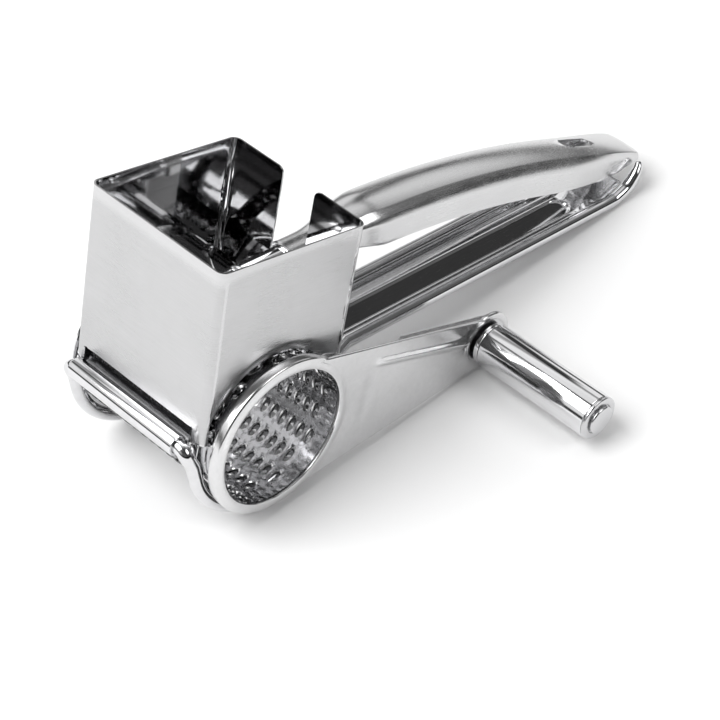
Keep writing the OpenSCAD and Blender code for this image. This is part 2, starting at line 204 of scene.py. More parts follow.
def make(name, shape, body, material, nodes=(), sheet=0.0, offset=-1.0, ease=0.0,
         sharp=32.0, cut=None, inner=None, others=(), looks=None):
    """One piece of the object. sheet gives a surface its thickness in mm, ease rounds its
    edges, cut is a closed shape taken away from it, and inner is its other side's material.
    looks gives each face the number of its material: 0, or a place in others."""
    def mesh_of(part, label):
        mesh = bpy.data.meshes.new(label)
        mesh.from_pydata([row(v) for v in part[0]], [], part[1])
        if looks and part is shape:
            mesh.polygons.foreach_set("material_index", looks)
        bm = bmesh.new()
        bm.from_mesh(mesh)
        bmesh.ops.remove_doubles(bm, verts=bm.verts, dist=2e-6)
        bmesh.ops.dissolve_degenerate(bm, edges=bm.edges, dist=1e-7)
        bmesh.ops.recalc_face_normals(bm, faces=bm.faces)
        middle = sum((v.co for v in bm.verts), Vector()) / len(bm.verts)
        outward = sum(f.calc_area() * f.normal.dot(f.calc_center_median() - middle)
                      for f in bm.faces)
        if outward < 0:
            bmesh.ops.reverse_faces(bm, faces=bm.faces)
        bm.to_mesh(mesh)
        bm.free()
        return mesh

    obj = bpy.data.objects.new(name, mesh_of(shape, name))
    bpy.context.scene.collection.objects.link(obj)
    for m in (material, inner, *others):
        if m:
            obj.data.materials.append(m)
    if sheet:
        m = obj.modifiers.new("sheet", "SOLIDIFY")
        m.thickness, m.offset = sheet * MM, offset
        m.material_offset = 1 if inner else 0
    tool = None
    if cut:
        tool = bpy.data.objects.new(name + "_cut", mesh_of(cut, name + "_cut"))
        bpy.context.scene.collection.objects.link(tool)
        m = obj.modifiers.new("cut", "BOOLEAN")
        m.object, m.operation, m.solver = tool, "DIFFERENCE", "EXACT"
    if ease:
        m = obj.modifiers.new("ease", "BEVEL")
        m.width, m.segments, m.limit_method = ease * MM, 2, "ANGLE"
        m.angle_limit = math.radians(50)
        m.use_clamp_overlap = True
    if obj.modifiers:
        bpy.context.view_layer.update()
        done = bpy.data.meshes.new_from_object(
            obj.evaluated_get(bpy.context.evaluated_depsgraph_get()))
        obj.modifiers.clear()
        obj.data = done
    if tool:
        bpy.data.objects.remove(tool)
    mesh = obj.data
    mesh.polygons.foreach_set("use_smooth", [True] * len(mesh.polygons))
    mesh.set_sharp_from_angle(angle=math.radians(sharp))
    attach(obj, body)
    if nodes:
        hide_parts(*nodes)
    return obj


# ------------------------------------------------------------------ materials

class Tree:
    """Short words for building a material's nodes."""

    def __init__(self, name):
        self.mat = bpy.data.materials.new(name)
        self.mat.use_nodes = True
        self.tree = self.mat.node_tree
        self.shader = self.tree.nodes["Principled BSDF"]

    def add(self, kind, **values):
        node = self.tree.nodes.new(kind)
        for key, value in values.items():
            if hasattr(node, key):
                setattr(node, key, value)
            else:
                node.inputs[key.replace("_", " ")].default_value = value
        return node

    def link(self, a, b):
        self.tree.links.new(a, b)

    def noise(self, vector, scale, detail=3.0, rough=0.55):
        node = self.add("ShaderNodeTexNoise", Scale=scale, Detail=detail, Roughness=rough)
        self.link(vector, node.inputs["Vector"])
        return node.outputs["Fac"]

    def span(self, value, a, b, c, d):
        """value from a..b carried over to c..d."""
        node = self.add("ShaderNodeMapRange")
        for i, v in enumerate((a, b, c, d), 1):
            node.inputs[i].default_value = v
        self.link(value, node.inputs[0])
        return node.outputs[0]

    def math(self, kind, a, b):
        node = self.add("ShaderNodeMath", operation=kind)
        for socket, v in zip(node.inputs, (a, b)):
            if isinstance(v, (int, float)):
                socket.default_value = v
            else:
                self.link(v, socket)
        return node.outputs[0]

    def tint(self, fac, dark, light):
        node = self.add("ShaderNodeMix", data_type="RGBA")
        self.link(fac, node.inputs["Factor"])
        node.inputs["A"].default_value = (*dark, 1)
        node.inputs["B"].default_value = (*light, 1)
        return node.outputs["Result"]


def steel(name, tone, rough, grain, strength, spread=0.05, scratch=0.0):
    """Stainless steel. grain is how many brush lines there are to the metre along each axis
    of the grater, strength the depth of the brushing, spread the change in roughness over
    the surface and scratch the depth of the hairlines."""
    t = Tree(name)
    s = t.shader
    s.inputs["Metallic"].default_value = 1.0
    coords = t.add("ShaderNodeTexCoord").outputs["Object"]
    turned = t.add("ShaderNodeMapping", Rotation=(0, -LEAN, 0))
    t.link(coords, turned.inputs["Vector"])
    lines = t.add("ShaderNodeMapping", Scale=grain)
    t.link(turned.outputs[0], lines.inputs["Vector"])
    fine = t.noise(lines.outputs[0], 1.0, 4.0, 0.65)
    broad = t.noise(turned.outputs[0], 45.0, 3.0)
    small = t.noise(turned.outputs[0], 420.0, 2.0)
    wear = t.span(t.add("ShaderNodeNewGeometry").outputs["Pointiness"], 0.52, 0.62, 0.0, 1.0)
    # colour: brush lines, faint cloudiness, and convex edges lighter: partly worn edges, partly
    # painted highlight along the rims
    shade = t.math("ADD", t.math("MULTIPLY", fine, 0.55), t.math("MULTIPLY", broad, 0.45))
    shade = t.math("ADD", shade, t.math("MULTIPLY", wear, 0.35))
    dark = tuple(0.86 * c for c in tone)
    light = tuple(min(1.0, 1.1 * c) for c in tone)
    t.link(t.tint(t.span(shade, 0.25, 0.85, 0.0, 1.0), dark, light), s.inputs["Base Color"])
    # roughness: brush lines and handling marks, edges polished by wear
    value = t.math("ADD", t.span(fine, 0.3, 0.7, -spread, spread),
                   t.span(broad, 0.35, 0.7, -spread * 0.6, spread * 0.8))
    value = t.math("ADD", value, t.span(small, 0.5, 0.8, 0.0, spread * 0.5))
    value = t.math("ADD", value, rough)
    value = t.math("SUBTRACT", value, t.math("MULTIPLY", wear, rough * 0.3))
    t.link(t.math("MAXIMUM", value, 0.03), s.inputs["Roughness"])
    # bump: the brushing, and a few hairline scratches
    height = t.math("MULTIPLY", fine, strength)
    if scratch:
        far = t.add("ShaderNodeMapping", Scale=(grain[0] * 0.3, grain[1] * 0.3, grain[2] * 0.3))
        t.link(turned.outputs[0], far.inputs["Vector"])
        hair = t.span(t.noise(far.outputs[0], 1.0, 6.0, 0.8), 0.66, 0.7, 0.0, 1.0)
        height = t.math("SUBTRACT", height, t.math("MULTIPLY", hair, scratch))
    b = t.add("ShaderNodeBump", Strength=0.6, Distance=0.00005)
    t.link(height, b.inputs["Height"])
    t.link(b.outputs[0], s.inputs["Normal"])
    return t.mat


def moulded(name, tone, rough):
    """Black plastic with a fine eroded grain."""
    t = Tree(name)
    s = t.shader
    coords = t.add("ShaderNodeTexCoord").outputs["Object"]
    pores = t.noise(coords, 2600.0, 4.0)
    broad = t.noise(coords, 160.0, 3.0)
    wear = t.span(t.add("ShaderNodeNewGeometry").outputs["Pointiness"], 0.52, 0.6, 0.0, 0.5)
    shade = t.math("ADD", t.math("MULTIPLY", broad, 0.5), wear)
    t.link(t.tint(shade, tone, tuple(c * 2.2 + 0.01 for c in tone)), s.inputs["Base Color"])
    t.link(t.span(pores, 0.3, 0.7, rough - 0.06, rough + 0.08), s.inputs["Roughness"])
    b = t.add("ShaderNodeBump", Strength=0.5, Distance=0.00006)
    t.link(pores, b.inputs["Height"])
    t.link(b.outputs[0], s.inputs["Normal"])
    return t.mat


BRUSHED = steel("brushed_shell", (0.57, 0.57, 0.575), 0.30, (90, 90, 5200), 0.45, 0.04,
                scratch=0.15)
INSIDE = steel("mirror_inside", (0.5, 0.5, 0.505), 0.06, (50, 50, 900), 0.06, 0.02)
ROD = steel("polished_frame", (0.72, 0.72, 0.73), 0.085, (300, 300, 300), 0.12, 0.02)
TRAY = steel("polished_tray", (0.80, 0.80, 0.81), 0.06, (40, 1800, 1800), 0.12, 0.02)
DRUM = steel("polished_drum", (0.66, 0.66, 0.67), 0.07, (1500, 60, 1500), 0.2, 0.03)
# dark floors and bright rims of the drum's cups: painted shade and painted highlight
CUP_PAINTED_SHADE = steel("cup_floor_painted_shade", (0.2, 0.2, 0.205), 0.12, (1500, 60, 1500), 0.1, 0.03)
CUP_RIM_PAINTED_HIGHLIGHT = steel("cup_rim_painted_highlight", (0.92, 0.92, 0.925), 0.24, (900, 900, 900), 0.1, 0.03)
# dark material for the strip over the hinge sleeve: painted shade
SHADE = steel("painted_shade_step", (0.17, 0.17, 0.175), 0.25, (90, 4000, 90), 0.2, 0.04)
CRANK = steel("satin_crank", (0.70, 0.70, 0.705), 0.2, (700, 700, 700), 0.1, 0.03)
GRIP = steel("polished_grip", (0.80, 0.80, 0.81), 0.09, (2200, 60, 2200), 0.25, 0.03)
CAP = steel("turned_cap", (0.66, 0.66, 0.67), 0.22, (2600, 200, 2600), 0.4, 0.05)
PRESS = steel("polished_press", (0.66, 0.66, 0.665), 0.24, (60, 4200, 4200), 0.3, 0.04,
              scratch=0.08)
PIN = steel("steel_pins", (0.60, 0.60, 0.61), 0.2, (900, 900, 900), 0.3, 0.05)
BLACK = moulded("black_bush", (0.012, 0.012, 0.013), 0.38)


# ------------------------------------------------------------------ frame

def rail_z(x):
    return 3.9 + (x - 52) * math.tan(math.radians(7.2))


def rod_route(side):
    """Route of one half of the rod, from the hopper's hinge to the tail."""
    bend = [(HINGE_X, side * 24.2, HINGE_Z), (HINGE_X + 0.05, side * 26, HINGE_Z - 0.35),
            (HINGE_X + 0.6, side * 27.6, HINGE_Z - 2.1),
            (-BEND_R * math.cos(math.radians(10)) - 0.7, side * (BEND_Y - 0.2),
             -BEND_R * math.sin(math.radians(10)))]
    arc = [(BEND_R * math.cos(math.radians(a)), side * BEND_Y, BEND_R * math.sin(math.radians(a)))
           for a in range(200, 311, 5)]
    a318 = math.radians(318)
    back = [(BEND_R * math.cos(a318), side * BEND_Y, BEND_R * math.sin(a318)),
            (28, side * 26.6, -13.6), (36.5, side * 20.4, -5), (44.5, side * 14.2, 1.4),
            (52, side * RAIL_Y, 3.9)]
    tail = [(64, side * RAIL_Y, rail_z(64)), (163, side * RAIL_Y, rail_z(163)),
            (183, side * RAIL_Y, rail_z(183)), (187.2, side * RAIL_Y, 21.5),
            (192.4, side * RAIL_Y, 24.8), (195.4, side * (RAIL_Y - 0.1), 29.2),
            (196.9, side * (RAIL_Y - 0.7), 31.7), (197.5, side * (RAIL_Y - 1.7), 33)]
    return (spline(bend, 6) + [Vector(p) for p in arc] + spline(back, 6) + spline(tail, 8))


right, left = rod_route(-1), rod_route(1)
whole = list(reversed(right)) + [Vector((HINGE_X, y, HINGE_Z)) for y in (-12, 0, 12)] + left
# the tail ends are drawn down to rounded points
radii = [ROD_R] * len(whole)
for i in range(24):
    radii[i] = radii[-1 - i] = mix(1.15, ROD_R, smooth(i / 24)) * math.sqrt(clamp01((i + 0.3) / 3))
make("rod_frame", sweep(whole, radii, 28), "frame", ROD, ["frame_rod"])


def cheek(y0, y1):
    """Plate inside the rod's bend, with the round seat that the drum turns in."""
    seat, out = DRUM_R + 0.35, BEND_R
    outline = [(out, 2)]
    outline += [(out * math.cos(math.radians(a)), out * math.sin(math.radians(a)))
                for a in range(0, -181, -4)]
    outline += [(-out, 2)]
    dip = math.degrees(math.asin(2 / seat))
    steps = 46
    outline += [(seat * math.cos(math.radians(a)), seat * math.sin(math.radians(a)))
                for a in [180 - dip + (180 + 2 * dip) * k / steps for k in range(steps + 1)]]
    return plate(outline, y0, y1, 0.15)


make("seat_right", cheek(-BEND_Y - 0.5, -BEND_Y + 0.5), "frame", ROD,
     ["right_cheek"])
make("seat_left", cheek(BEND_Y - 0.5, BEND_Y + 0.5), "frame", ROD,
     ["left_cheek"])


def bridge():
    """Sloping sheet behind the drum, narrowing from the bends to the rails, with a shallow
    stiffening swage down its middle."""
    rows = []
    for i in range(17):
        u = i / 16
        x, z, w = mix(28.4, 50, u), mix(-13.2, 2.6, u), mix(25.6, 10.6, u)
        r = []
        for k in range(33):
            v = k / 16 - 1
            dip = 0.9 * bump(v, 0.5) * bump(u - 0.5, 0.42)
            r.append((x + dip * 0.6, w * v, z - dip * 0.8))
        rows.append(r)
    return grid(rows)


make("bridge_sheet", bridge(), "frame", ROD, ["rear_bridge"],
     sheet=0.8, offset=0, ease=0.15)


def tray():
    """Trough of the lower handle: stepped section with a round-ended groove, closed at the
    tail by a ramp up to the hinge."""
    half = fillet([(9.9, 1.4), (9.1, 0.2), (8.6, -1.5), (7.7, -2.1), (5.4, -2.65), (0, -2.8)],
                  [0, 0.7, 0.8, 0.5, 0, 0], 4, closed=False)
    outer = [p for p in half if p[0] > 5.3]
    inner = [5.0, 4.7, 4.5, 4.3, 4.1, 3.9, 3.7, 3.4, 3.0, 2.6, 2.2, 1.8, 1.3, 0.8, 0.4]
    full = outer + [(y, None) for y in inner] + [(0, None)]
    full += [(-y, z) for y, z in reversed(full[:-1])]
    groove_end = 169.5
    xs = ([46.8 + 3.0 * k for k in range(40)] + [165 + 0.4 * k for k in range(25)]
          + [175.2 + 0.6 * k for k in range(8)] + [180 + 0.9 * k for k in range(12)])
    rows = []
    for x in xs:
        lift = step(172.5, 180, x)
        ramp = max(0.0, x - 179.8) * 0.51
        r = []
        for y, z in full:
            if z is None:
                edge = math.hypot(y, max(0.0, x - groove_end))
                z = -2.8 - 0.62 * step(4.55, 3.85, edge)
            z = mix(z, 0.1 + 0.1 * min(z, 0), lift)
            r.append((x, y, rail_z(x) + ramp + z))
        rows.append(r)
    return grid(rows)


make("tray_trough", tray(), "frame", TRAY, ["lower_handle"],
     sheet=0.8, offset=1, ease=0.15)

tongue = [(188.6, 25.6), (189.2, 26.4), (191.6, 28.2), (192.5, 30.6), (193.5, 30.6),
          (193.0, 28.0), (189.9, 25.5)]
make("tail_knuckle", join(plate(fillet(tongue, 0.6, 4), -4.4, 4.4, 0.15),
                          lathe(fillet([(1.42, -4.4), (2.2, -4.4), (2.2, 4.4), (1.42, 4.4)], 0.2),
                                PIVOT_X, PIVOT_Z, sides=40)),
     "frame", ROD, ["hinge_knuckle"])

pin_profile = fillet([(0, -8.5), (1.4, -8.5), (1.4, 8.5), (0, 8.5)], [0, 0.35, 0.35, 0], 3,
                     closed=False)
make("tail_pin", lathe(pin_profile, PIVOT_X, PIVOT_Z, sides=32, closed=False), "frame",
     PIN, ["rear_hinge_pin"])


# ------------------------------------------------------------------ hopper

RIM_Z, LOW_Z = 67.2, 2.6
CORNER_R = 3.0
GAP_W = 7.2
FLAP_TOP_R, FLAP_LOW_R = 2.5, 2
ARCH_R = DRUM_R + 1.6


def wall(z):
    """Front x, back x and half-width of the leaning hopper at height z."""
    u = (z - LOW_Z) / (RIM_Z - LOW_Z)
    return mix(-29.6, -34.6, u), mix(29.3, 27.0, u), mix(30.3, 30.0, u)


def hopper():
    """Leaning sheet box, arched over the drum with the arches' edges turned in, and stepped
    in over the hinge sleeve. Also each face's material."""
    cols = []                        # (kind, position along that wall)
    back = [GAP_W + d for d in (0, 0.12, 0.35, 0.7, 1.1, 1.6, 2.1, 2.6, 4, 7, 10, 14, 18)]
    cols += [("back", y) for y in back + [27]]
    cols += [("c0", k) for k in range(1, 9)]
    arch = [math.cos(math.radians(a)) for a in
            [6, 7.5, 10, 13, 16] + list(range(20, 161, 4)) + [164, 167, 170, 172.5, 174]]
    cols += [("left", a) for a in [2] + arch + [-2]]
    cols += [("c1", k) for k in range(1, 9)]
    front = [27, 26.2, 25.8, 25.4, 25.0, 24.6, 24.2, 23.6, 22, 16, 12, 8, 4]
    cols += [("front", y) for y in front + [0] + [-y for y in reversed(front)]]
    cols += [("c2", k) for k in range(1, 9)]
    cols += [("right", a) for a in [-2] + arch[::-1] + [2]]
    cols += [("c3", k) for k in range(1, 9)]
    cols += [("back", -y) for y in [27] + back[::-1]]

    def arch_x(a, z):
        """x of a side column: on the arch low down, spread between the corners higher up."""
        xf, xb, _ = wall(z)
        xf, xb = xf + CORNER_R, xb - CORNER_R
        if abs(a) > 1:
            return xb if a > 0 else xf
        za = ARCH_R * math.sqrt(1 - a * a)
        xfa, xba, _ = wall(za)
        f = (ARCH_R * a - xfa - CORNER_R) / (xba - xfa - 2 * CORNER_R)
        f = clamp01(f)
        return mix(xf, xb, f)

    def point(kind, v, z):
        xf, xb, w = wall(z)
        if kind == "back":
            return [xb, v, z]
        if kind == "front":
            return [xf, v, z]
        if kind == "left":
            return [arch_x(v, z), w, z]
        if kind == "right":
            return [arch_x(v, z), -w, z]
        a = math.pi / 2 * v / 9
        r = CORNER_R
        cx, cy, a0 = {"c0": (xb - r, w - r, a), "c1": (xf + r, w - r, math.pi / 2 + a),
                      "c2": (xf + r, -w + r, math.pi + a),
                      "c3": (xb - r, -w + r, 1.5 * math.pi + a)}[kind]
        return [cx + r * math.cos(a0), cy + r * math.sin(a0), z]

    steps = [0, 0.4, 0.9, 1.5, 2.2, 3.2, 4.6, 5.3, 5.55, 5.8, 6.1, 6.2, 6.5, 9]
    upper_rows = 18
    columns = []
    for kind, v in cols:
        top, low = RIM_Z, LOW_Z
        if kind == "back":
            d = abs(v) - GAP_W
            # the flaps' upper and lower inner corners are rounded
            if d < FLAP_TOP_R:
                top -= FLAP_TOP_R - math.sqrt(FLAP_TOP_R * FLAP_TOP_R - (FLAP_TOP_R - d) ** 2)
            if d < FLAP_LOW_R:
                low += FLAP_LOW_R - math.sqrt(FLAP_LOW_R ** 2 - (FLAP_LOW_R - d) ** 2)
        if kind in ("left", "right") and abs(v) <= 1:
            low = max(LOW_Z, ARCH_R * math.sqrt(1 - v * v))
        if kind == "front":
            low = mix(1.4, LOW_Z - 0.6, step(24.2, 25.6, abs(v)))
        col = []
        for s in steps + [9 + (top - low - 9) * (k + 1) / upper_rows for k in range(upper_rows)]:
            z = low + s
            p = point(kind, v, z)
            if kind in ("left", "right"):
                away = math.hypot(p[0], p[2]) - ARCH_R
                turn_in = 1.9 * clamp01(1 - away / 5.5) ** 2
                p[1] -= turn_in if kind == "left" else -turn_in
            if kind == "front":
                inner = 1 - step(24.6, 25.6, abs(v - 0.4))
                tuck = 2.2 * step(7.45, 6.9, z) - 2.1 * step(3.0, 1.4, z)
                p[0] += inner * tuck
            col.append(tuple(p))
        columns.append(col)
    verts, faces = grid(columns)
    looks = []
    for f in faces:
        x, y, z = (sum(verts[i][k] for i in f) / len(f) for k in range(3))
        # faces of the strip over the sleeve take the third material, painted shade
        looks.append(2 if x < -20 and z < 7.3 and abs(y - 0.4) < 25.4 else 0)
    return (verts, faces), looks


# the strip that steps back over the sleeve lies deep in shade; its faces get a dark material that
# paints that shade
hopper_shape, hopper_looks = hopper()
make("hopper_sheet", hopper_shape, "hopper", BRUSHED, ["hopper_shell"],
     sheet=0.62, offset=-1, ease=0.2, sharp=40, inner=INSIDE, others=(SHADE,),
     looks=hopper_looks)

make("hinge_tube", lathe(fillet([(2.46, -23.8), (3.6, -23.8), (3.6, 25.2), (2.46, 25.2)], 0.35),
                         HINGE_X, HINGE_Z, sides=48), "hopper", ROD,
     ["hinge_sleeve"])


# ------------------------------------------------------------------ drum

def drum():
    """Cylinder with staggered rows of cups, each an almond swelling outwards with a round
    hole near its steep end. Cups sit in blocks of a common lattice, so all edges meet."""
    rows, across, along = 18, 8, 4
    pitch = 4.1
    dy = pitch / along
    y0 = -31.3
    count = 14
    ny = count * along + along // 2
    da = 2 * math.pi / (rows * across)

    def at(i, k, h=0.0):
        """Lattice point: i steps round, k steps along, h above the cylinder."""
        a, r = i * da, DRUM_R + h
        return (r * math.cos(a), y0 + k * dy, r * math.sin(a))

    verts, faces, looks = [], [], []

    def quad(ps, look=0):
        base = len(verts)
        verts.extend(ps)
        faces.append(tuple(range(base, base + len(ps))))
        looks.append(look)

    hole_r, tall = 0.86, 0.95
    cup_long, cup_wide, cup_off = 3.25, 1.68, 1.5
    block = ([(across / 2, v) for v in (-2, -1, 0, 1)] + [(u, 2) for u in range(4, -4, -1)]
             + [(-across / 2, v) for v in (2, 1, 0, -1)] + [(u, -2) for u in range(-4, 4)])
    arc = da * DRUM_R                # length of one lattice step round the drum
    # the hole sits towards the falling angle
    hole = (-1.25 / arc, 0.0)
    for r in range(rows):
        shift = (r % 2) * along // 2
        for c in range(count):
            ci, ck = r * across + across / 2, c * along + along / 2 + shift
            rings = [[] for _ in range(6)]
            for u, v in block:
                du, dv = (u - hole[0]) * arc, v * dy
                ang = math.atan2(dv, du)
                # almond round the hole: long to the rising side, short and steep to the other
                c, s = math.cos(ang), math.sin(ang)
                a2, b2 = cup_long ** 2, cup_wide ** 2
                qa, qb = c * c / a2 + s * s / b2, -2 * c * cup_off / a2
                root = math.sqrt(qb * qb - 4 * qa * (cup_off * cup_off / a2 - 1))
                reach = (-qb + root) / (2 * qa)
                for ring, (f, h) in zip(rings, ((0, 0.9), (0.25, 1.0), (0.72, 0.8), (0.9, 0.2),
                                                (1, 0.0))):
                    d = mix(hole_r, reach, f)
                    ring.append((ci + hole[0] + d * math.cos(ang) / arc,
                                 ck + d * math.sin(ang) / dy, tall * h))
                rings[5].append((ci + u, ck + v, 0.0))
            # the cups' floors get a dark material, painted shade, and their rims a bright one,
            # painted highlight
            for a, b, look in zip(rings, rings[1:], (2, 1, 1, 2, 0)):
                for j in range(len(block)):
                    j2 = (j + 1) % len(block)
                    quad([at(*a[j]), at(*b[j]), at(*b[j2]), at(*a[j2])], look)
        # plain squares at the staggered ends of this row
        plain = range(0, 2) if shift else range(ny - 2, ny)
        for i in range(r * across, (r + 1) * across):
            for k in plain:
                quad([at(i, k), at(i + 1, k), at(i + 1, k + 1), at(i, k + 1)])
    # smooth ends, and the lip turned out at the open end
    ends = [[(DRUM_R, y0), (DRUM_R, -32.6), (DRUM_R, -33.8), (DRUM_R, -35.3)],
            [(DRUM_R, y0 + ny * dy), (DRUM_R, 29), (DRUM_R, 31.2), (DRUM_R + 0.15, 31.9),
             (DRUM_R + 0.6, 32.35), (DRUM_R + 1.3, 32.5), (DRUM_R + 2.1, 32.5)]]
    for profile in ends:
        for (ra, ya), (rb, yb) in zip(profile, profile[1:]):
            for i in range(rows * across):
                a, b = i * da, (i + 1) * da
                quad([(ra * math.cos(a), ya, ra * math.sin(a)),
                      (rb * math.cos(a), yb, rb * math.sin(a)),
                      (rb * math.cos(b), yb, rb * math.sin(b)),
                      (ra * math.cos(b), ya, ra * math.sin(b))])
    return (verts, faces), looks


drum_shape, drum_looks = drum()
make("drum_sheet", drum_shape, "drum", DRUM, ["drum_cylinder"],
     sheet=0.5, offset=-1, sharp=28, others=(CUP_PAINTED_SHADE, CUP_RIM_PAINTED_HIGHLIGHT), looks=drum_looks)


def arm_limit(a):
    """Distance from the drum's axis to the crank's outline in the direction a."""
    best = RING_R
    ring = RING_R - 2
    t = math.asin((ring - TIP_R) / CRANK_LEN)
    # tangent line on either side: points p with p.n = ring
    n = (math.sin(t), math.cos(t))
    c, s = math.cos(a), abs(math.sin(a))
    along = c * n[0] + s * n[1]
    if c > 0 and along > 0:
        d = ring / along
        x, y = d * c, d * s
        end_x = CRANK_LEN + TIP_R * n[0]
        if x <= end_x:
            best = max(best, d) if x > ring * n[0] else best
    # the round tip
    if c > 0:
        disc = TIP_R ** 2 - (CRANK_LEN * s) ** 2
        if disc >= 0:
            d = CRANK_LEN * c + math.sqrt(disc)
            if d * c > CRANK_LEN + TIP_R * n[0] or along <= 0 or ring / along * c > end_x:
                best = max(RING_R, d)
    return best


def crank():
    """Ring and tapered arm in one stamping, with its edges turned back."""
    angles = [k * 0.35 for k in range(0, 35)] + [12.25 + k * 0.9 for k in range(0, 34)]
    angles += [43 + k * 3.0 for k in range(0, 45)] + [177.5, 180]
    angles = angles + [-a for a in reversed(angles[1:-1])]
    inner = DRUM_R - DRUM_T
    ca, sa = math.cos(CRANK_ANGLE), math.sin(CRANK_ANGLE)

    def height(x, z):
        """How far the face stands out from the plate, in the arm's own frame."""
        r = math.hypot(x, z)
        h = 0.45 * bump(r - inner - 1.3, 2.4)                     # rolled edge round the mouth
        # long raised rib
        ax, az, bx, bz = 41.0, 12.8, 84.0, 3.4
        u = clamp01(((x - ax) * (bx - ax) + (z - az) * (bz - az))
                    / ((bx - ax) ** 2 + (bz - az) ** 2))
        d = math.hypot(x - mix(ax, bx, u), z - mix(az, bz, u))
        h += 0.8 * bump(d, 2.2)
        # crescent pressed round the ring, and a shallow dish at the grip
        h -= 0.35 * bump(r - 37.5, 3.2) * bump(math.atan2(z, x), 0.42)
        h -= 0.3 * bump(math.hypot(x - CRANK_LEN, z), 8.0)
        return h

    rows = []
    radial = [0, 0.25, 0.7, 1.2, 1.9, 2.7]
    for deg in angles:
        a = math.radians(deg)
        c, s = math.cos(a), math.sin(a)
        limit = arm_limit(a)
        turn_r = 0.9
        flat = limit - turn_r
        ring = []
        near = [inner + d for d in radial]
        near = [r for r in near if r < flat - 0.1] or [inner]
        while len(near) < len(radial):
            near.append(near[-1] + (flat - near[-1]) * 0.4)
        rest = [near[-1] + (flat - near[-1]) * k / 44 for k in range(1, 45)]
        for r in [inner] + near[1:] + rest:
            x, z = r * c, r * s
            y = RING_Y - height(x, z) * step(0, 1.2, flat - r + 0.5) + (0.5 if r == inner else 0)
            ring.append((x, y, z))
        depth = mix(3.2, mix(0.9, 2.6, step(49, 52, limit * c)), step(29.5, 33, limit))
        for k in range(1, 6):
            b = math.pi / 2 * k / 5
            r = flat + turn_r * math.sin(b)
            ring.append((r * c, RING_Y + turn_r * (1 - math.cos(b)), r * s))
        for k in range(1, 4):
            ring.append((limit * c, RING_Y + mix(turn_r, depth, k / 3), limit * s))
        rows.append([(x * ca - z * sa, y, x * sa + z * ca) for x, y, z in ring])
    return grid(rows, close_rows=True)


make("crank_stamping", crank(), "drum", CRANK, ["crank_plate"],
     sheet=1.1, offset=-1, ease=0.2, sharp=45)

# dished boss that ends the arm behind the grip
boss = [(2.55, RING_Y + 0.5), (6.9, RING_Y + 0.5), (8.2, RING_Y + 0.1), (8.8, RING_Y - 0.12),
        (BOSS_R - 0.5, RING_Y - 0.12), (BOSS_R, RING_Y + 0.4), (BOSS_R, RING_Y + 1.2),
        (2.55, RING_Y + 1.2)]
make("crank_boss", lathe(fillet(boss, [0.1, 0.6, 0.7, 0.5, 0.3, 0.3, 0.15, 0.1], 4),
                         GRIP_X, GRIP_Z, sides=96), "drum", CRANK,
     ["crank_plate"])


# ------------------------------------------------------------------ grip

GY0 = RING_Y - 0.7
GY1 = GY0 - 2.6
GY2 = GY1 - GRIP_LEN
GY3 = GY2 - 1.4
make("grip_sleeve", lathe(fillet([(GRIP_R - 0.7, GY1), (GRIP_R, GY1), (GRIP_R, GY2),
                                  (GRIP_R - 0.7, GY2)], 0.2), GRIP_X, GRIP_Z, sides=72),
     "grip", GRIP, ["grip_tube"])
make("grip_collar", lathe(fillet([(2.56, GY0), (GRIP_R - 1.5, GY0), (GRIP_R - 0.75, GY0 - 0.4),
                                  (GRIP_R - 0.75, GY1 - 7), (2.56, GY1 - 7)], 0.2),
                          GRIP_X, GRIP_Z, sides=72), "grip", BLACK,
     ["grip_base_bush"])
make("collar_ring", lathe(fillet([(GRIP_R - 0.75, GY0 - 0.5), (GRIP_R - 0.3, GY0 - 0.5),
                                  (GRIP_R - 0.3, GY1 + 0.5), (GRIP_R - 0.75, GY1 + 0.5)], 0.2, 4),
                          GRIP_X, GRIP_Z, sides=72), "grip", GRIP,
     ["grip_base_bush"])
make("grip_cap", lathe(fillet([(2.56, GY2 + 7), (GRIP_R - 0.75, GY2 + 7), (GRIP_R - 0.75, GY2),
                               (GRIP_R - 0.1, GY2 - 0.05), (GRIP_R - 0.1, GY3 + 0.35),
                               (GRIP_R - 0.6, GY3), (5.5, GY3), (5.3, GY3 + 0.5),
                               (2.56, GY3 + 0.5)], 0.2), GRIP_X, GRIP_Z, sides=72),
     "grip", CAP, ["grip_end_cap"])
make("grip_spindle", lathe(fillet([(0, GY3 - 1.25), (4.6, GY3 - 1.25), (5.05, GY3 - 0.8),
                                   (5.05, GY3 - 0.3), (2.5, GY3 - 0.3), (2.5, RING_Y + 2),
                                   (3.4, RING_Y + 2.05), (3.2, RING_Y + 2.6), (1.8, RING_Y + 2.9),
                                   (0, RING_Y + 2.95)], [0, 0.4, 0.3, 0.1, 0, 0, 0.1, 0.4, 0.5, 0],
                                  3, closed=False), GRIP_X, GRIP_Z, sides=56, closed=False),
     "drum", CAP, ["grip_pin"])
make("rivet_washer", lathe(fillet([(2.5, RING_Y + 1.2), (5, RING_Y + 1.2), (5, RING_Y + 2),
                                   (2.5, RING_Y + 2)], 0.2), GRIP_X, GRIP_Z, sides=48),
     "drum", PIN, ["grip_washer"])


# ------------------------------------------------------------------ press handle

NECK_X, NECK_Z, NECK_SLOPE = 34.0, 44.45, 0.095
CROWN_Z, ARCH = 52.6, 402.0
SKIN = 1.0


def arch_z(x):
    return CROWN_Z - (x - 82) ** 2 / (2 * ARCH)


def crown(x):
    if x <= NECK_X:
        return NECK_Z - (NECK_X - x) * NECK_SLOPE
    if x >= 60:
        return arch_z(x)
    return mix(NECK_Z + (x - NECK_X) * NECK_SLOPE, arch_z(x), smooth((x - NECK_X) / (60 - NECK_X)))


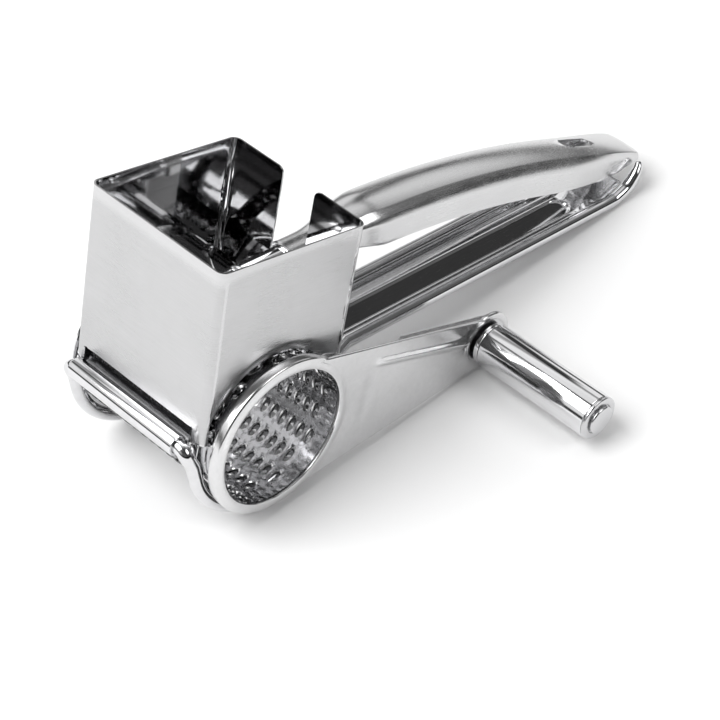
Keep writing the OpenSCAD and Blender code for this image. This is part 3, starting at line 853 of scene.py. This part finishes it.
def handle_section(x):
    """Outer half-section at x, from the crown to the skirt's edge."""
    u = step(30, 64, x)
    e = clamp01((x - 183) / 16.7)
    d = clamp01((x - 160) / 26)
    wt = mix(mix(3, 7, u), 7.5, clamp01((x - 165) / 34))
    ws = mix(mix(4.4, 10.3, u), 8.3, d)
    wb = mix(mix(4.6, 11, u), 8.5, d)
    c = mix(mix(0.4, 1.9, u), 0.5, step(165, 199, x))
    hb = mix(mix(4.4, 13.6, u), 3, e) - 2 * clamp01((x - 150) / 30) * (1 - e)
    hs = mix(1.6, min(6 - 2.4 * d, hb - 0.8), u)
    top = [(wt * k / 6, -c * (k / 6) ** 2) for k in range(7)]
    mid = [(mix(wt, ws, 0.42), mix(-c, -hs, 0.3)), (mix(wt, ws, 0.78), mix(-c, -hs, 0.64)),
           (ws, -hs)]
    low = [(mix(ws, wb, k / 5), mix(-hs, -hb, k / 5)) for k in range(1, 6)]
    return fillet(top + mid + low, [0] * 6 + [0.3, 0.8, 0.8, 0.4] + [0] * 5, 3, closed=False)


def handle():
    """Arched channel, open underneath, closer rows where its shape changes fastest."""
    xs = [24 + 1.5 * k for k in range(30)] + [69 + 3 * k for k in range(38)]
    xs += [183 + 1.2 * k for k in range(14)] + [199.7]
    rows = []
    for x in xs:
        half = handle_section(x)
        z = crown(x)
        rows.append([(x, -y, z + h) for y, h in reversed(half)]
                    + [(x, y, z + h) for y, h in half[1:]])
    return grid(rows)


def stadium(x, length, r, z0, z1, steps=16):
    """Upright block with round ends, to cut a slot with."""
    half = length / 2 - r
    ring = [(x + half + r * math.cos(a), r * math.sin(a)) for a in
            [math.pi * (k / steps - 0.5) for k in range(steps + 1)]]
    ring += [(x - half + r * math.cos(a), r * math.sin(a)) for a in
             [math.pi * (k / steps + 0.5) for k in range(steps + 1)]]
    rows = [[(px, py, z) for px, py in ring] for z in (z0, z1)]
    verts, faces = grid(rows, close_cols=True)
    n = len(ring)
    return verts, faces + [tuple(range(n)), tuple(range(n, 2 * n))]


SLOT_X, SLOT_LEN, SLOT_R = 170.0, 17.6, 2.7
SLOT_LOW, SLOT_HIGH = 30, 60
make("press_shell", handle(), "press", PRESS, ["press_handle"],
     sheet=SKIN, offset=-1, ease=0.2, sharp=24,
     cut=stadium(SLOT_X, SLOT_LEN, SLOT_R, SLOT_LOW, SLOT_HIGH))


def neck_top(x):
    return NECK_Z - (NECK_X - x) * NECK_SLOPE - SKIN - 0.03


def neck():
    """Narrow channel that carries the plate, deeper towards the handle."""
    rows = []
    for k in range(50):
        x = -13 + k
        z = neck_top(x)
        drop = mix(1.3, 3.5, step(12, 20, x))
        half = [(2.7 * math.sin(math.radians(a)), -1.0 * (1 - math.cos(math.radians(a))))
                for a in range(0, 91, 15)]
        half += [(2.7, -1.0 - (drop - 1.0) * j / 3) for j in range(1, 4)]
        w = mix(0.6, 1, math.sqrt(clamp01((x + 13.4) / 2.7)))     # rounded front end
        rows.append([(x, -y * w, z + h) for y, h in reversed(half)]
                    + [(x, y * w, z + h) for y, h in half[1:]])
    return grid(rows)


make("press_stem", neck(), "press", ROD, ["press_neck"],
     sheet=0.8, offset=-1, ease=0.15, sharp=40)

PLATE_R = 27.6
PLATE_TOP = neck_top(0) - 1.25


def press_sheet():
    """Smooth curved plate over the drum, with rounded corners."""
    outer = PLATE_R + 1
    cz = PLATE_TOP - outer
    corner = 4.0
    rows = []
    n, m = 48, 40
    edge = math.asin(20.6 / outer)
    for i in range(n + 1):
        a = (i / n * 2 - 1) * edge
        r = []
        for k in range(m + 1):
            d = outer * (abs(a) - edge) + corner
            limit = 25.8 - (corner - math.sqrt(max(0.0, corner ** 2 - d * d)) if d > 0 else 0)
            y = (k / m * 2 - 1) * limit
            r.append((outer * math.sin(a), y, cz + outer * math.cos(a)))
        rows.append(r)
    return grid(rows)


make("press_sheet", press_sheet(), "press", TRAY, ["press_plate"],
     sheet=0.55, offset=-1, sharp=50)


def rivet(x, low, top, shank, head):
    profile = [(0, low), (head, low), (head, low + 0.35), (shank, low + 0.8), (shank, top - 0.1),
               (head, top), (head * 0.8, top + 0.38), (head * 0.4, top + 0.55), (0, top + 0.6)]
    profile = fillet(profile, [0, 0.1, 0.2, 0, 0, 0.15, 0.3, 0.3, 0], 2, closed=False)
    return lathe([(r, h) for r, h in profile], x, 0.0, axis="Z", sides=32, closed=False)


make("plate_rivets", join(*[rivet(x, PLATE_TOP - 2.6, neck_top(x), 1.2, 2.0) for x in (-6, 5)]),
     "press", PIN, ["press_rivets"])

# ------------------------------------------------------------------ stage, light, camera

def flat(name, size, place):
    mesh = bpy.data.meshes.new(name)
    s = size / 2
    mesh.from_pydata([(-s, -s, 0), (s, -s, 0), (s, s, 0), (-s, s, 0)], [], [(0, 1, 2, 3)])
    obj = bpy.data.objects.new(name, mesh)
    obj.location = place
    bpy.context.scene.collection.objects.link(obj)
    return obj


floor = flat("floor", 8.0, (0, 0, 0))
t = Tree("pale_floor")
t.shader.inputs["Base Color"].default_value = (0.93, 0.93, 0.93, 1)
t.shader.inputs["Roughness"].default_value = 0.9
t.shader.inputs["Specular IOR Level"].default_value = 0.1
floor.data.materials.append(t.mat)


def softbox(name, place, target, width, height, watts):
    lamp = bpy.data.lights.new(name, "AREA")
    lamp.shape, lamp.size, lamp.size_y, lamp.energy = "RECTANGLE", width, height, watts
    obj = bpy.data.objects.new(name, lamp)
    obj.location = place
    aim = Vector(target) - Vector(place)
    obj.rotation_euler = aim.to_track_quat("-Z", "Y").to_euler()
    bpy.context.scene.collection.objects.link(obj)
    return obj


softbox("key", (-1.1, 0.5, 1.7), (0.05, 0, 0.04), 1.6, 1.6, 44)
softbox("fill", (0.9, -1.6, 1.5), (0.08, 0, 0.04), 1.2, 1.0, 14)

world = bpy.data.worlds.new("studio")
bpy.context.scene.world = world
world.use_nodes = True
nt = world.node_tree


def sky_ramp(socket, stops, low=0.0, high=1.0):
    """Grey levels along one component of the direction."""
    span = nt.nodes.new("ShaderNodeMapRange")
    span.inputs[1].default_value, span.inputs[2].default_value = low, high
    nt.links.new(socket, span.inputs[0])
    ramp = nt.nodes.new("ShaderNodeValToRGB")
    nt.links.new(span.outputs[0], ramp.inputs[0])
    el = ramp.color_ramp.elements
    while len(el) < len(stops):
        el.new(0.5)
    for e, (place, v) in zip(el, stops):
        e.position, e.color = place, (v, v, v, 1)
    return ramp.outputs[0]


def blend(kind, a, b):
    node = nt.nodes.new("ShaderNodeMix")
    node.data_type, node.blend_type = "RGBA", kind
    node.inputs["Factor"].default_value = 1.0
    nt.links.new(a, node.inputs["A"])
    nt.links.new(b, node.inputs["B"])
    return node.outputs["Result"]


coord = nt.nodes.new("ShaderNodeTexCoord")
split = nt.nodes.new("ShaderNodeSeparateXYZ")
nt.links.new(coord.outputs["Generated"], split.inputs[0])
# pale above, a dark band over the floor's edge, a grey bar higher up
height = sky_ramp(split.outputs["Z"], [(0.0, 0.6), (0.03, 0.5), (0.07, 0.05), (0.2, 0.05),
                                       (0.27, 1.0), (0.62, 1.0), (0.66, 0.35), (0.74, 0.35),
                                       (0.78, 1.0), (1.0, 0.9)])
# darker towards the crank's side, and two dark uprights on the other
side_dark = sky_ramp(split.outputs["Y"], [(0.0, 0.10), (0.32, 0.12), (0.55, 0.9), (1.0, 1.0)],
                     -1.0, 1.0)
bars = sky_ramp(split.outputs["X"], [(0.0, 0.9), (0.40, 1.0), (0.43, 0.12), (0.47, 0.12),
                                     (0.50, 1.0), (1.0, 1.0)], -1.0, 1.0)
across = sky_ramp(split.outputs["X"], [(0.0, 1.0), (0.76, 1.0), (0.79, 0.04), (0.88, 0.04),
                                       (0.91, 1.0)], -1.0, 1.0)
along = sky_ramp(split.outputs["Y"], [(0.0, 1.0), (0.68, 1.0), (0.70, 0.04), (0.805, 0.04),
                                      (0.825, 1.0)], -1.0, 1.0)
board = blend("LIGHTEN", across, along)
back = nt.nodes["Background"]
shade = blend("MULTIPLY", blend("MULTIPLY", height, side_dark), bars)
nt.links.new(blend("MULTIPLY", shade, board), back.inputs["Color"])
back.inputs["Strength"].default_value = 1.08

cam_data = bpy.data.cameras.new("camera")
cam = bpy.data.objects.new("camera", cam_data)
bpy.context.scene.collection.objects.link(cam)
# place, direction and lens fitted to the view that the object is shown from
cam_data.lens, cam_data.sensor_width = 134.6, 36.0
cam_data.clip_start, cam_data.clip_end = 0.01, 20
look = Vector((0.4960, 0.5157, -0.6986)).normalized()
side = Vector((0.7168, -0.6972, -0.0058)).normalized()
up = side.cross(look).normalized()
side = look.cross(up).normalized()
cam.matrix_world = Matrix.Translation((-0.3887, -0.4759, 0.6378)) @ Matrix(
    (side, up, -look)).transposed().to_4x4()
bpy.context.scene.camera = cam
bpy.context.scene.view_settings.view_transform = "Standard"
